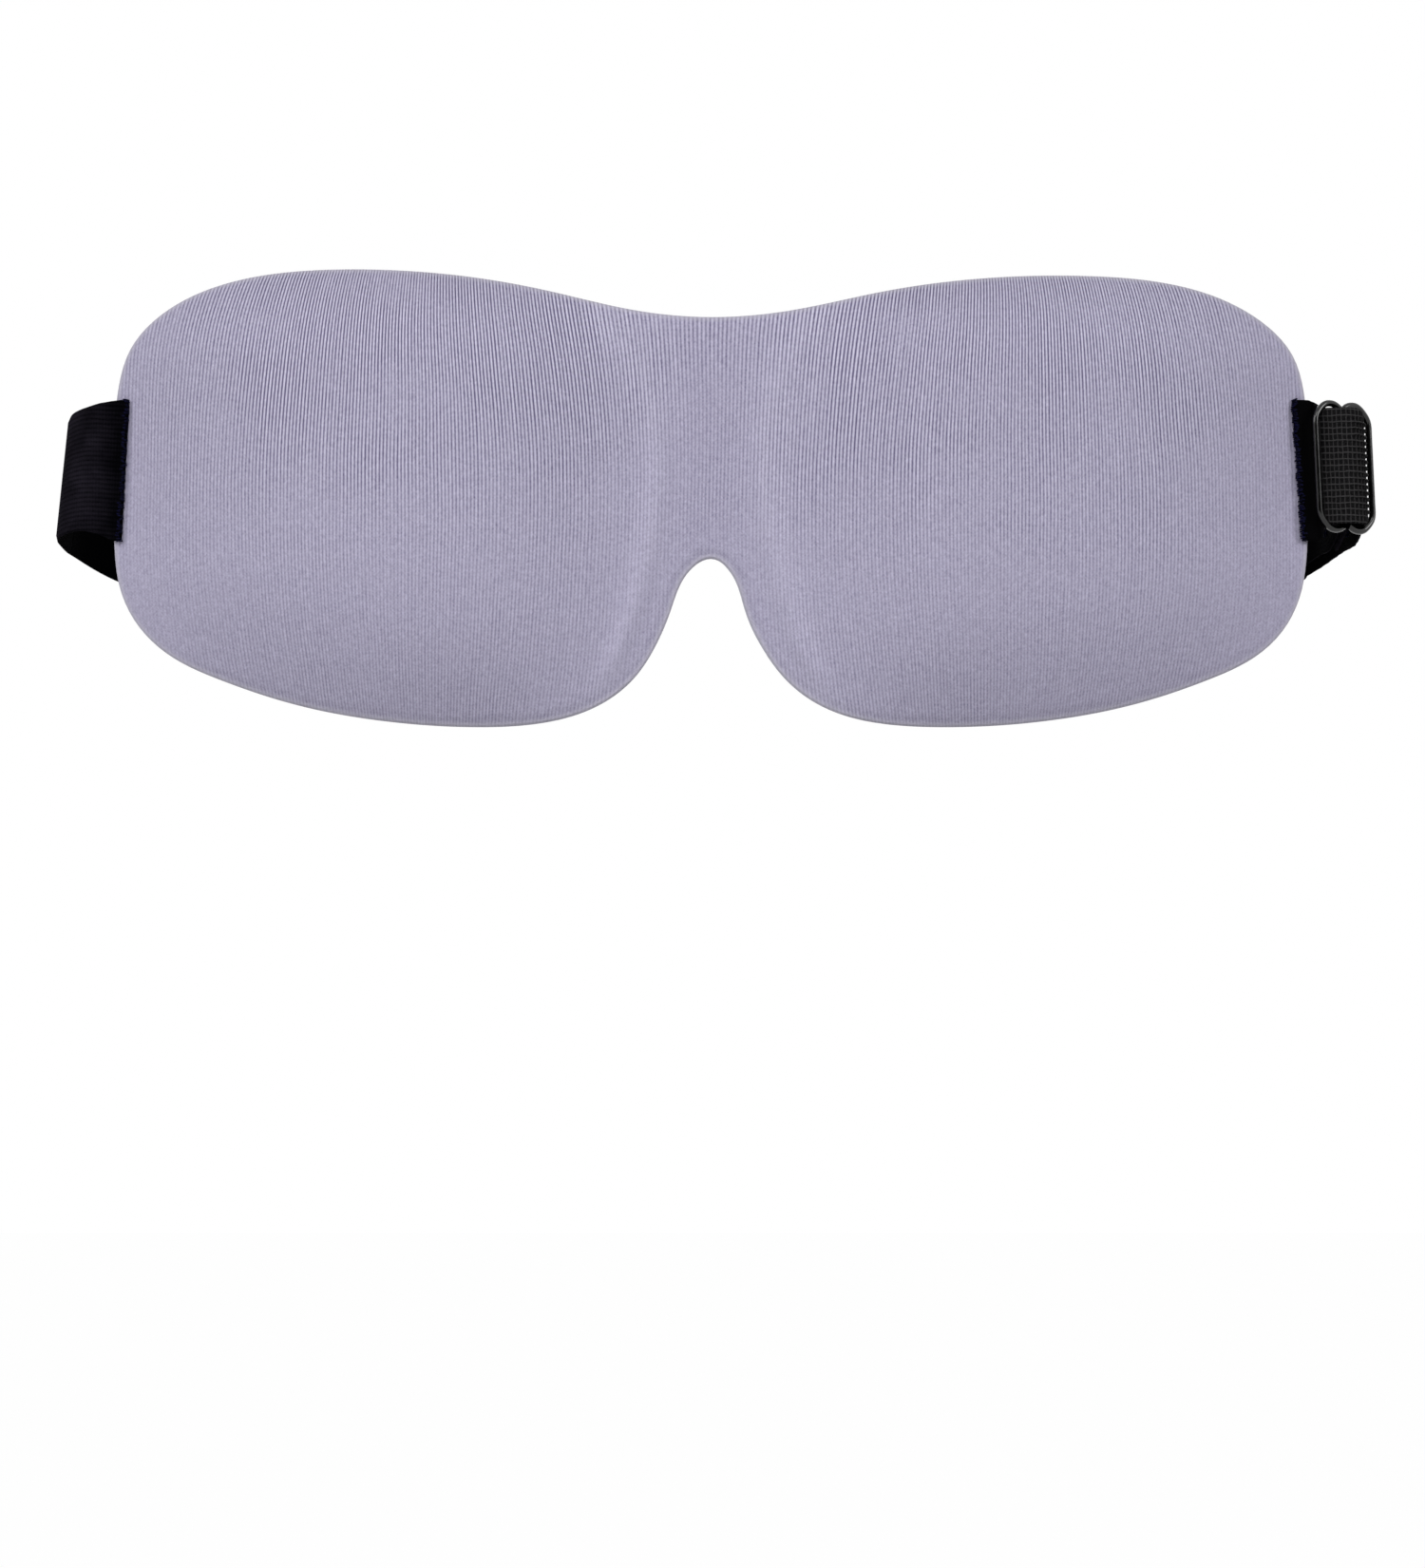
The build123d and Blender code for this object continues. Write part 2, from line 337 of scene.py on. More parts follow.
def ring_grid(inset):
    """Rings of points from the edge in to a line along the middle. Returns (rings, around, 2)."""
    n = len(EDGE)

    def ends(picked):
        return min(picked, key=lambda i: EDGE[i, 0]), max(picked, key=lambda i: EDGE[i, 0])

    def stretch(a, b, count):
        span = (b - a) % n
        picks = EDGE[[(a + k) % n for k in range(span + 1)]]
        return resample(picks, count + 1)[:-1]

    left_top, right_top = ends([i for i, (x, z) in enumerate(EDGE) if z > 20 * MM and abs(x) < 90 * MM])
    left_low, right_low = ends([i for i, (x, z) in enumerate(EDGE) if z < -9 * MM and abs(x) < 84 * MM])
    around = np.concatenate([
        stretch(left_top, right_top, STATIONS), stretch(right_top, right_low, FAN),
        stretch(right_low, left_low, STATIONS), stretch(left_low, left_top, FAN),
    ])
    across = np.linspace(-SPINE_HALF, SPINE_HALF, STATIONS + 1)
    spine_x = np.concatenate([
        across[:-1], np.full(FAN, SPINE_HALF), across[::-1][:-1], np.full(FAN, -SPINE_HALF)
    ])
    spine_z = SPINE_ARCH * np.exp(-(spine_x / SPINE_ARCH_HALF)**2)
    spine = np.stack([spine_x, spine_z], axis=1)
    around = around - edge_normals(around) * inset
    share = 1 - np.linspace(0, 1, RINGS)**1.5
    share = np.concatenate([EDGE_SHARES, share[share < INNER_SHARE]])
    return spine[None] + share[:, None, None] * (around - spine)[None]


def sheet_solid(name, front, back, inset, bulge):
    """A closed sheet between two faces, with a rounded edge."""
    grid = ring_grid(inset)
    rings, around = grid.shape[:2]
    x, z = grid[..., 0].ravel(), grid[..., 1].ravel()
    edge = edge_distance(x, z)
    y_front = front(x, z, edge)
    y_back = back(x, z, edge)
    outer = slice(0, around)
    normal = edge_normals(grid[0])
    points = [np.stack([x, y_front, z], axis=1)]
    steps = 3
    for k in range(1, steps + 1):
        turn = math.pi * k / (steps + 1)
        out = bulge * math.sin(turn)
        depth = (1 - math.cos(turn)) / 2
        y = y_front[outer] * (1 - depth) + y_back[outer] * depth
        points.append(np.stack([x[outer] + normal[:, 0] * out, y, z[outer] + normal[:, 1] * out], axis=1))
    points.append(np.stack([x, y_back, z], axis=1))
    starts = [int(start) for start in np.cumsum([0] + [len(p) for p in points])]
    faces = []

    def join(row_a, row_b):
        for i in range(around):
            j = (i + 1) % around
            faces.append((row_a + i, row_a + j, row_b + j, row_b + i))

    last = starts[-2]
    for r in range(rings - 1):
        join(r * around, (r + 1) * around)
        join(last + (r + 1) * around, last + r * around)
    rows = starts[:-1]
    for a, b in zip(rows[:-1], rows[1:]):
        join(b, a)
    obj = new_mesh(name, np.concatenate(points), faces)
    tidy_mesh(obj, 2e-6)
    return obj


# ------------------------------------------------------------------ webbing along a path

INNER_SHIFT = 100 * MM    # moves the inner face's weave away, so that a look can tell the two faces apart and paint shade on the inner face
FACE_SPLIT = INNER_SHIFT * CM_PER_M / 2


def band(name, path, half_wide, thick, lean, sag, skew=None, relief=None, across=24, outside=1):
    """Webbing on edge along a flat path: (n, 2) points in X and Y, with its width along Z.

    half_wide, lean, sag and skew say how the webbing goes at each distance along the path. relief says
    how far its weave stands out, and outside says which of its faces is the one that shows.
    """
    n = len(path)
    along = distances(path)
    tangent = unit(np.gradient(path, axis=0))
    normal = np.stack([tangent[:, 1], -tangent[:, 0]], axis=1)
    wide = half_wide(along)

    def half_thick(a):
        """Half of the thickness, which falls off close to the webbing's edges."""
        return 0.5 * min(1, 0.35 + math.sqrt(max(0, 1 - abs(a)**14)))

    outer = [(a, half_thick(a)) for a in np.linspace(-1, 1, across)]
    section = outer + [(a, -o) for a, o in reversed(outer)]
    points, uvs = [], []
    for i in range(n):
        z_lean = lean(along[i])
        dip = sag(along[i])
        slip = skew(along[i]) if skew else 0.0
        for a, o in section:
            z = a * wide[i]
            out = o * thick
            if relief is not None and o > 0:
                out += relief(along[i], z)
            x = path[i, 0] + normal[i, 0] * (out + z * z_lean) - tangent[i, 0] * z * slip
            y = path[i, 1] + normal[i, 1] * (out + z * z_lean) - tangent[i, 1] * z * slip
            points.append((x, y, STRAP_Z + z - dip))
            uvs.append((along[i], z if o * outside > 0 else z + INNER_SHIFT))
    m = len(section)
    faces = []
    for i in range(n - 1):
        for k in range(m):
            j = (k + 1) % m
            faces.append((i * m + k, i * m + j, (i + 1) * m + j, (i + 1) * m + k))
    for row in (0, n - 1):
        for k in range(across - 1):
            a, b = row * m + k, row * m + k + 1
            c, d = row * m + m - 2 - k, row * m + m - 1 - k
            faces.append((a, b, c, d))
    obj = new_mesh(name, points, faces)
    layer = obj.data.uv_layers.new(name="weave")
    flat = np.array([uvs[loop.vertex_index] for loop in obj.data.loops], np.float32)
    layer.data.foreach_set("uv", flat.ravel() * CM_PER_M)
    tidy_mesh(obj, 1e-7)
    return obj


def on_band(path, lean, sag):
    """Gives places on a band: how far along, across and out from its middle."""
    along = distances(path)
    tangent = unit(np.gradient(path, axis=0))

    def at(s, z, out):
        x, y = (float(np.interp(s, along, path[:, k])) for k in (0, 1))
        tx, ty = (float(np.interp(s, along, tangent[:, k])) for k in (0, 1))
        reach = out + z * lean(s)
        return x + ty * reach, y - tx * reach, STRAP_Z + z - sag(s)

    return at


def arc(centre, radius, start, turn, step=0.4 * MM):
    """Points on an arc, with its start and its turn in degrees."""
    count = max(4, int(abs(math.radians(turn)) * radius / step))
    a = np.radians(start + turn * np.arange(count + 1) / count)
    return np.stack([centre[0] + radius * np.cos(a), centre[1] + radius * np.sin(a)], axis=1)


def straight(a, b, step=1.0 * MM):
    count = max(2, int(math.dist(a, b) / step))
    t = np.linspace(0, 1, count + 1)[:, None]
    return np.array(a) * (1 - t) + np.array(b) * t


def chain(first, *others):
    """One line from several, each of which starts where the one before ends."""
    return np.concatenate([first] + [line[1:] for line in others])


# ------------------------------------------------------------------ helpers for materials

def rgb(r, g, b):
    """Linear colour from 0-255 values as they look on a screen."""
    def one(c):
        c /= 255
        return c / 12.92 if c <= 0.04045 else ((c + 0.055) / 1.055)**2.4
    return one(r), one(g), one(b), 1.0


class Nodes:
    """Small helpers that add and join shader nodes."""

    def __init__(self, tree):
        self.tree = tree

    def add(self, kind, **settings):
        node = self.tree.nodes.new(kind)
        for key, value in settings.items():
            setattr(node, key, value)
        return node

    def link(self, a, b):
        self.tree.links.new(a, b)

    def value(self, socket, x):
        """Sets a socket to a number or a colour, or joins another socket to it."""
        if isinstance(x, (int, float, tuple)):
            socket.default_value = x
        else:
            self.link(x, socket)

    def place(self):
        return self.add("ShaderNodeTexCoord").outputs["Object"]

    def uv(self, name):
        return self.add("ShaderNodeUVMap", uv_map=name).outputs[0]

    def split(self, vector):
        node = self.add("ShaderNodeSeparateXYZ")
        self.link(vector, node.inputs[0])
        return node.outputs

    def math(self, operation, a, b=0.0, c=None):
        node = self.add("ShaderNodeMath", operation=operation)
        self.value(node.inputs[0], a)
        self.value(node.inputs[1], b)
        if c is not None:
            self.value(node.inputs[2], c)
        return node.outputs[0]

    def times(self, a, b):
        return self.math("MULTIPLY", a, b)

    def centred(self, mask):
        """Moves a mask from 0..1 to -0.5..0.5."""
        return self.math("SUBTRACT", mask, 0.5)

    def wave(self, x, pitch, operation="SINE"):
        """A wave from -1 to 1 that comes round once in every pitch."""
        return self.math(operation, self.times(x, 2 * math.pi / pitch))

    def ridges(self, wave, sharpness=1.0):
        """Ridges from 0 to 1 on a wave's crests."""
        raised = self.math("MULTIPLY_ADD", wave, 0.5, 0.5)
        return raised if sharpness == 1.0 else self.math("POWER", raised, sharpness)

    def layered(self, base, *layers):
        """Adds each layer, times its weight, to the base."""
        for layer, weight in layers:
            base = self.math("MULTIPLY_ADD", layer, weight, base)
        return base

    def noise(self, vector, scale, detail=2.0, rough=0.5):
        node = self.add("ShaderNodeTexNoise")
        self.link(vector, node.inputs["Vector"])
        self.value(node.inputs["Scale"], scale)
        node.inputs["Detail"].default_value = detail
        node.inputs["Roughness"].default_value = rough
        return node.outputs["Fac"]

    def spread(self, x, low, high, to_low=0.0, to_high=1.0):
        node = self.add("ShaderNodeMapRange")
        for socket, number in zip(node.inputs, (x, low, high, to_low, to_high)):
            self.value(socket, number)
        return node.outputs[0]

    def mix(self, factor, a, b):
        node = self.add("ShaderNodeMix", data_type="RGBA")
        for socket, x in ((node.inputs[0], factor), (node.inputs[6], a), (node.inputs[7], b)):
            self.value(socket, x)
        return node.outputs[2]

    def bump(self, height, distance, strength):
        node = self.add("ShaderNodeBump")
        self.link(height, node.inputs["Height"])
        node.inputs["Distance"].default_value = distance
        node.inputs["Strength"].default_value = strength
        return node.outputs["Normal"]


def fibre_group():
    """Fine fibre fuzz: a mask that any cloth here can use."""
    tree = bpy.data.node_groups.new("fibre_fuzz", "ShaderNodeTree")
    tree.interface.new_socket("Vector", in_out="INPUT", socket_type="NodeSocketVector")
    tree.interface.new_socket("Scale", in_out="INPUT", socket_type="NodeSocketFloat")
    tree.interface.new_socket("Mask", in_out="OUTPUT", socket_type="NodeSocketFloat")
    n = Nodes(tree)
    inside = n.add("NodeGroupInput")
    outside = n.add("NodeGroupOutput")
    fine = n.noise(inside.outputs["Vector"], inside.outputs["Scale"], 3.0, 0.7)
    n.link(n.spread(fine, 0.3, 0.7), outside.inputs["Mask"])
    return tree


FIBRE = fibre_group()


def fuzz(n, vector, scale):
    node = n.add("ShaderNodeGroup")
    node.node_tree = FIBRE
    n.link(vector, node.inputs["Vector"])
    node.inputs["Scale"].default_value = scale
    return node.outputs["Mask"]


def material(name, roughness, sheen=0.0, specular=0.5):
    m = bpy.data.materials.new(name)
    m.use_nodes = True
    n = Nodes(m.node_tree)
    shader = m.node_tree.nodes["Principled BSDF"]
    shader.inputs["Roughness"].default_value = roughness
    shader.inputs["Specular IOR Level"].default_value = specular
    shader.inputs["Sheen Weight"].default_value = sheen
    shader.inputs["Sheen Roughness"].default_value = 0.4
    return m, n, shader


def paint(n, shader, colour, height, distance, strength):
    """Gives a material its colour and its fine relief."""
    n.link(colour, shader.inputs["Base Color"])
    n.link(n.bump(height, distance, strength), shader.inputs["Normal"])


# ------------------------------------------------------------------ materials

RIB_PITCH = 0.655 * MM
STITCH_PITCH = 0.62 * MM  # of the knit along each rib
SWAY_PITCH = 112 * MM     # the ribs bend once to each side in this width
SWAY = 3.6 * MM
SWAY_HEIGHT = 40 * MM     # the bend grows with the square of the height
DRIFT = 1.8 * MM
RIDGE_HIGHLIGHT_WIDE = 2.8 * MM     # width of the painted highlight along the ridge beside the nose


def swayed_side(n, place, x, z):
    """Where each place lies across the ribs, which bend round the moulding and drift a little."""
    rise = n.math("MULTIPLY_ADD", z, 1 / SWAY_HEIGHT, 0.1)
    sway = n.times(n.wave(x, SWAY_PITCH), n.times(rise, rise))
    drift = n.centred(n.noise(place, 20.0))
    return n.layered(x, (sway, -SWAY), (drift, DRIFT))


def rib_clearness(n, place, out, z):
    """How clearly the ribs show: less low down, at the sides and over the nose, and in patches."""
    clear = n.spread(z, -14 * MM, 24 * MM, 0.34, 1.05)
    clear = n.times(clear, n.spread(out, 80 * MM, 104 * MM, 1.0, 0.3))
    clear = n.times(clear, n.spread(out, 6 * MM, 22 * MM, 0.5, 1.0))
    return n.times(clear, n.spread(n.noise(place, 75.0, 4.0), 0.32, 0.68, 0.6, 1.1))


def painted_ridge_light_and_shade(n, out, z):
    """Painted highlight along the ridge beside the nose, and painted shade between the two ridges."""
    away = n.math("SUBTRACT", z, RIDGE_LEVEL)
    flare = n.spread(away, -0.1 * MM, 0.1 * MM, FLARE_DOWN, FLARE_UP)
    ridge = n.math("ADD", n.times(n.times(away, away), flare), RIDGE_AWAY)
    beside = n.times(n.math("SUBTRACT", out, ridge), 1 / RIDGE_HIGHLIGHT_WIDE)
    light = n.math("EXPONENT", n.times(n.times(beside, beside), -1.0))
    return n.math("SUBTRACT", light, n.spread(out, 3 * MM, 10 * MM, 0.8, 0.0))


def jersey():
    """Ribbed jersey: fine upright ribs that bend round the moulding, under a fine nap."""
    m, n, shader = material("jersey_ribbed_lavender", 0.92, sheen=0.1, specular=0.12)
    place = n.place()
    x, _, z = n.split(place)
    out = n.math("ABSOLUTE", x)
    side = swayed_side(n, place, x, z)
    wave = n.wave(side, RIB_PITCH)
    rib = n.ridges(wave, 0.8)
    row = n.add("ShaderNodeTexNoise", noise_dimensions="1D")
    n.link(n.times(side, 1 / (0.7 * RIB_PITCH)), row.inputs["W"])
    row.inputs["Scale"].default_value = 1.0
    row.inputs["Detail"].default_value = 1.0
    uneven = n.spread(row.outputs["Fac"], 0.25, 0.75, -0.3, 0.3)
    depth = rib_clearness(n, place, out, z)
    loops = n.times(n.wave(z, STITCH_PITCH), wave)
    speck = n.centred(fuzz(n, place, 2400.0))
    blot = n.centred(n.noise(place, 1100.0))
    tone = n.math("MULTIPLY_ADD", n.math("SUBTRACT", rib, 0.6), 1.9, n.times(uneven, 0.75))
    # The ridge term is painted light: a highlight on each ridge beside the nose and shade between them.
    tone = n.layered(
        n.times(tone, depth), (speck, 0.5), (blot, 0.55), (painted_ridge_light_and_shade(n, out, z), 0.10), (loops, 0.06)
    )
    colour = n.mix(n.spread(tone, -1.0, 1.0), rgb(104, 98, 129), rgb(218, 214, 236))
    # Painted highlight: a paler band along the cover's pressed edge stands in for light on the rim.
    rim = n.split(n.uv("rim"))[0]
    painted_edge_highlight = n.spread(rim, 0.02, 0.11, 0.7, 0.0)
    colour = n.mix(painted_edge_highlight, colour, rgb(190, 187, 199))
    height = n.layered(n.times(rib, depth), (speck, 0.3), (loops, 0.08))
    paint(n, shader, colour, height, 0.12 * MM, 0.8)
    return m


def foam_material():
    """Dark closed-cell foam."""
    m, n, shader = material("foam_closed_cell", 0.85, specular=0.3)
    cells = n.add("ShaderNodeTexVoronoi")
    n.link(n.place(), cells.inputs["Vector"])
    cells.inputs["Scale"].default_value = 3500
    cell = cells.outputs["Distance"]
    colour = n.mix(n.spread(cell, 0.0, 0.6), rgb(46, 46, 50), rgb(24, 24, 27))
    paint(n, shader, colour, cell, 0.06 * MM, 0.6)
    return m


def lining_material():
    """Black brushed knit: small loops under a soft nap."""
    m, n, shader = material("lining_brushed_black", 0.95, sheen=0.25, specular=0.12)
    place = n.place()
    x, _, z = n.split(place)
    knit = n.ridges(n.times(n.wave(x, 0.7 * MM), n.wave(z, 0.55 * MM)))
    nap = fuzz(n, place, 1500.0)
    worn = n.centred(n.noise(place, 45.0, 3.0))
    tone = n.layered(n.times(nap, 0.6), (knit, 0.4), (worn, 0.5))
    colour = n.mix(n.spread(tone, 0.1, 0.95), rgb(22, 21, 25), rgb(52, 50, 58))
    paint(n, shader, colour, tone, 0.12 * MM, 0.8)
    return m


CORD_PITCH = 0.85 * MM
TIE_PITCH = 0.55 * MM


def elastic_material():
    """Black knitted elastic: cords along its length, held by fine cross threads."""
    m, n, shader = material("elastic_knitted_black", 0.95, specular=0.01)
    uv = n.uv("weave")
    along, across, _ = n.split(uv)
    cords = n.ridges(n.wave(across, CORD_PITCH * CM_PER_M), 0.6)
    ties = n.ridges(n.wave(along, TIE_PITCH * CM_PER_M))
    nap = fuzz(n, uv, 30.0)
    long_nap = n.add("ShaderNodeMapping")
    long_nap.inputs["Scale"].default_value = (4.0, 30.0, 1.0)
    n.link(uv, long_nap.inputs["Vector"])
    streak = n.noise(long_nap.outputs[0], 1.2, 3.0)
    height = n.layered(cords, (ties, 0.35), (nap, 0.5))
    tone = n.layered(n.times(height, 0.5), (streak, 0.8))
    worn = n.spread(n.noise(uv, 1.6, 3.0), 0.3, 0.7, 0.55, 1.35)
    # Painted shade: darker towards the sewn end, where the elastic dips into the seam.
    painted_seam_shade = n.spread(along, 0.15, 0.55, 0.35, 1.0)
    tone = n.times(n.times(tone, worn), painted_seam_shade)
    colour = n.mix(n.spread(tone, 0.25, 1.6), rgb(3, 3, 5), rgb(35, 32, 40))
    # Painted shade: the inner face, which lies in shade, is painted almost black.
    inner = n.math("GREATER_THAN", across, FACE_SPLIT)
    paint(n, shader, n.mix(inner, colour, rgb(0, 0, 1)), height, 0.10 * MM, 0.8)
    return m


GRID_ALONG = 0.78 * MM
GRID_ACROSS = 1.14 * MM


def webbing_material():
    """Coarse black webbing with an open square grid, and a plain dark end under the stitching."""
    m, n, shader = material("webbing_square_black", 0.9, specular=0.01)
    uv = n.uv("weave")
    along, across, _ = n.split(uv)
    wander = n.centred(n.noise(uv, 5.0))

    def threads(coordinate, pitch, sharpness):
        moved = n.math("MULTIPLY_ADD", wander, pitch * 0.4, coordinate)
        return n.ridges(n.wave(moved, pitch, "COSINE"), sharpness)

    rows = threads(across, GRID_ACROSS * CM_PER_M, 14.0)
    columns = threads(along, GRID_ALONG * CM_PER_M, 11.0)
    grid = n.math("MAXIMUM", rows, n.times(columns, 0.8))
    nap = fuzz(n, uv, 40.0)
    past_the_end = n.spread(along, 0.40, 0.52)
    tone = n.layered(n.times(n.layered(grid, (nap, 0.3)), past_the_end), (nap, 0.06))
    colour = n.mix(n.spread(tone, 0.0, 1.3), rgb(1, 1, 2), rgb(68, 67, 68))
    # Painted shade: the inner face, which lies in shade, is painted almost black.
    inner = n.math("GREATER_THAN", across, FACE_SPLIT)
    paint(n, shader, n.mix(inner, colour, rgb(1, 1, 2)), tone, 0.06 * MM, 0.6)
    return m


def thread_material():
    """Black polyester thread with a twist."""
    m, n, shader = material("thread_polyester_black", 0.85, specular=0.1)
    wave = n.add("ShaderNodeTexWave", wave_type="BANDS", bands_direction="DIAGONAL")
    n.link(n.place(), wave.inputs["Vector"])
    wave.inputs["Scale"].default_value = 900
    wave.inputs["Distortion"].default_value = 2
    twist = wave.outputs["Fac"]
    paint(n, shader, n.mix(twist, rgb(2, 2, 10), rgb(9, 9, 46)), twist, 0.04 * MM, 0.7)
    return m


def wire_material():
    """Satin black coating on wire, a little rubbed and dusty."""
    m, n, shader = material("coating_satin_black", 0.15)
    place = n.place()
    rub = n.noise(place, 420.0, 4.0, 0.6)
    peel = n.noise(place, 1800.0)
    n.link(n.spread(rub, 0.3, 0.7, 0.12, 0.24), shader.inputs["Roughness"])
    paint(n, shader, n.mix(n.spread(rub, 0.35, 0.7), rgb(3, 3, 3), rgb(9, 9, 9)), peel, 0.02 * MM, 0.4)
    return m


JERSEY = jersey()
FOAM = foam_material()
LINING = lining_material()
ELASTIC = elastic_material()
WEBBING = webbing_material()
THREAD = thread_material()
WIRE = wire_material()


def dress(obj, look, body, slot, *nodes):
    """Gives a piece its material, the body that it moves with and the nodes that it stands for."""
    obj.data.materials.clear()
    obj.data.materials.append(look)
    if body:
        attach(obj, body)
    if nodes:
        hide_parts(*nodes)


# ------------------------------------------------------------------ the mask


def cover_inside(x, z, edge):
    """The cover's inner face, which runs back round the cut edge of the foam."""
    near_back = back_face(x, z, edge) - 0.35 * MM
    turn = 1 - smooth_step(edge, 0.8 * MM, 1.6 * MM)
    inside = front_face(x, z, edge) + SKIN
    return inside + (near_back - inside) * turn


def foam_front(x, z, edge):
    return front_face(x, z, edge) + SKIN


def foam_back(x, z, edge):
    return back_face(x, z, edge) - SKIN


def store_rim(obj):
    """Keeps each place's distance from the edge, for the painted highlight along the pressed edge."""
    places = np.empty(len(obj.data.vertices) * 3)
    obj.data.vertices.foreach_get("co", places)
    away = edge_distance(places[0::3], places[2::3]) * CM_PER_M
    owner = np.empty(len(obj.data.loops), np.int32)
    obj.data.loops.foreach_get("vertex_index", owner)
    layer = obj.data.uv_layers.new(name="rim")
    layer.data.foreach_set("uv", np.repeat(away[owner], 2).astype(np.float32))


def make_mask():
    """The cover and the lining over a foam filling."""
    cover = sheet_solid("jersey_cover", front_face, cover_inside, inset=0.35 * MM, bulge=0.35 * MM)
    store_rim(cover)
    dress(cover, JERSEY, "mask", "cover_jersey", "outer_cover")
    lining = sheet_solid("face_lining", foam_back, back_face, inset=1.7 * MM, bulge=0.3 * MM)
    dress(lining, LINING, "mask", "lining", "inner_lining")
    core = sheet_solid("foam_filling", foam_front, foam_back, inset=1.9 * MM, bulge=0.2 * MM)
    dress(core, FOAM, "mask", "foam", "foam_core")


# ------------------------------------------------------------------ thread

THREAD_RADIUS = 0.17 * MM
TACK_WIDE = 0.7 * MM      # of the overlock stitches along each sewn end
TACK_LOWER = 0.55 * MM    # how far their middle lies below the straps'
LOOP_ROWS = (1.2 * MM, 3.2 * MM)    # of stitches, measured from the folded elastic's end
LOOP_STITCH_GAP = 3.6 * MM
HEM_STITCH_GAP = 3.2 * MM


def thread_run(points, radius=THREAD_RADIUS):
    """One short stitch through the points."""
    curve = bpy.data.curves.new("stitch", "CURVE")
    curve.dimensions = "3D"
    curve.bevel_depth = radius
    curve.bevel_resolution = 1
    curve.use_fill_caps = True
    spline = curve.splines.new("NURBS")
    spline.points.add(len(points) - 1)
    for p, co in zip(spline.points, points):
        p.co = (*co, 1)
    spline.order_u = 3
    spline.use_endpoint_u = True
    curve_obj = add_object("stitch", curve)
    mesh = bpy.data.meshes.new_from_object(curve_obj.evaluated_get(bpy.context.evaluated_depsgraph_get()))
    bpy.data.objects.remove(curve_obj)
    return add_object("stitch", mesh)


def make_bartack(side, name, node, half_high, x_top, x_low, stitches):
    """A ragged column of overlock thread along a sewn end."""
    rng = np.random.default_rng(4 if side > 0 else 9)
    lifts = (0.15, 1.35, 1.25) if side > 0 else (0.1, 1.0, 1.1)
    loops = []
    for i in range(stitches):
        t = i / (stitches - 1)
        z = STRAP_Z - TACK_LOWER + half_high * (1 - 2 * t)
        reach = TACK_WIDE * rng.uniform(0.6, 1.3)
        start = x_top * (1 - t) + x_low * t - rng.uniform(0.05, 0.5) * MM
        up = rng.uniform(-0.3, 0.3) * MM
        points = []
        for k, lift in enumerate(lifts):
            x = start + reach * k / 2
            points.append((side * x, base_front(x) - lift * MM, z + up * k / 2))
        points.insert(1, (side * (start + 0.12 * MM), base_front(start) - 0.75 * MM, z))
        loops.append(thread_run(points, rng.uniform(0.13, 0.19) * MM))
    dress(join_pieces(name, loops), THREAD, "mask", "thread", node)


# ------------------------------------------------------------------ the straps

tilt = next(joint for joint in frame["joints"] if joint["name"] == "slider_tilt")
BAR_X, BAR_Y = tilt["pos_m"][0], tilt["pos_m"][1]
END_SLOPE = math.asin(HALF_WIDTH / FRONT_RADIUS)
STRAP_THICK = 1.0 * MM
WEBBING_THICK = STRAP_THICK * 0.9
LEFT_LAP = (2.4 * MM, 1.0 * MM)     # how far the sewn ends reach in over the mask and out past its edge
RIGHT_LAP = (2.2 * MM, 1.1 * MM)
LEFT_SLACK = 0.6 * MM     # the left strap bows out this much
CORNER_BACK = 20 * MM     # the straps turn in this far behind the middle bar
LEFT_BEND = 11.5 * MM     # radius round the mask's left edge
REAR_BEND = 45 * MM       # radius of the two rear corners
REAR_TURN = 70.0          # degrees that each of them turns
LOOP_RADIUS = 1.45 * MM
LOOP_BACK = 14 * MM       # of the elastic folded back round the middle bar
TAIL_BEND = 47 * MM
TAIL_TURN = 38.0
HEM = 9 * MM              # of the tail folded double
OVER_RADIUS = 3.4 * MM    # of the webbing where it passes over the bar
LEAN = math.tan(math.radians(4.5))
LEFT_LEAN = math.tan(math.radians(5.8))

# The slider's ring stands across the webbing, leans with it and sits a little higher.
SLIDER_YAW = math.radians(34.0)
SLIDER_HIGH = 11.5 * MM   # half of the ring's height
SLIDER_DROOP = 0.04       # how much its outer side hangs lower
RING_LEAN = LEAN * 0.8
RING_UP = 0.3 * MM
BAR_REACH = 6.6 * MM      # from the middle bar to each side of the ring
BAR_NOTCH = 1.0 * MM      # how far the ring dips in at the bar's ends
WIRE_THICK = 1.22 * MM

# How the straps dip past the rear corners and rise again behind.
CORNER_DIP = 6.0 * MM
BACK_RISE = 7.4 * MM
CORNER_LONG = 36 * MM
BACK_LONG = 108 * MM


def rear_sag(t, first, start, end):
    """How far the strap dips at a distance past the start of a rear corner."""
    dip = first * ease(t, start, end) + CORNER_DIP * ease(t, 1 * MM, CORNER_LONG)
    return dip - (first + BACK_RISE) * ease(t, CORNER_LONG, BACK_LONG)


def left_sag(t):
    return rear_sag(t, 2.8 * MM, -28 * MM, 4 * MM)


def right_sag(t):
    return rear_sag(t, 3.5 * MM, -24 * MM, -6 * MM)


def surface_path(side, lap, stand_off):
    """Points along the mask's front face beside its edge, a little off the face."""
    x = np.linspace(HALF_WIDTH - lap[0], HALF_WIDTH + lap[1], 8)
    y = base_front(x) - stand_off
    return np.stack([side * x, y], axis=1)


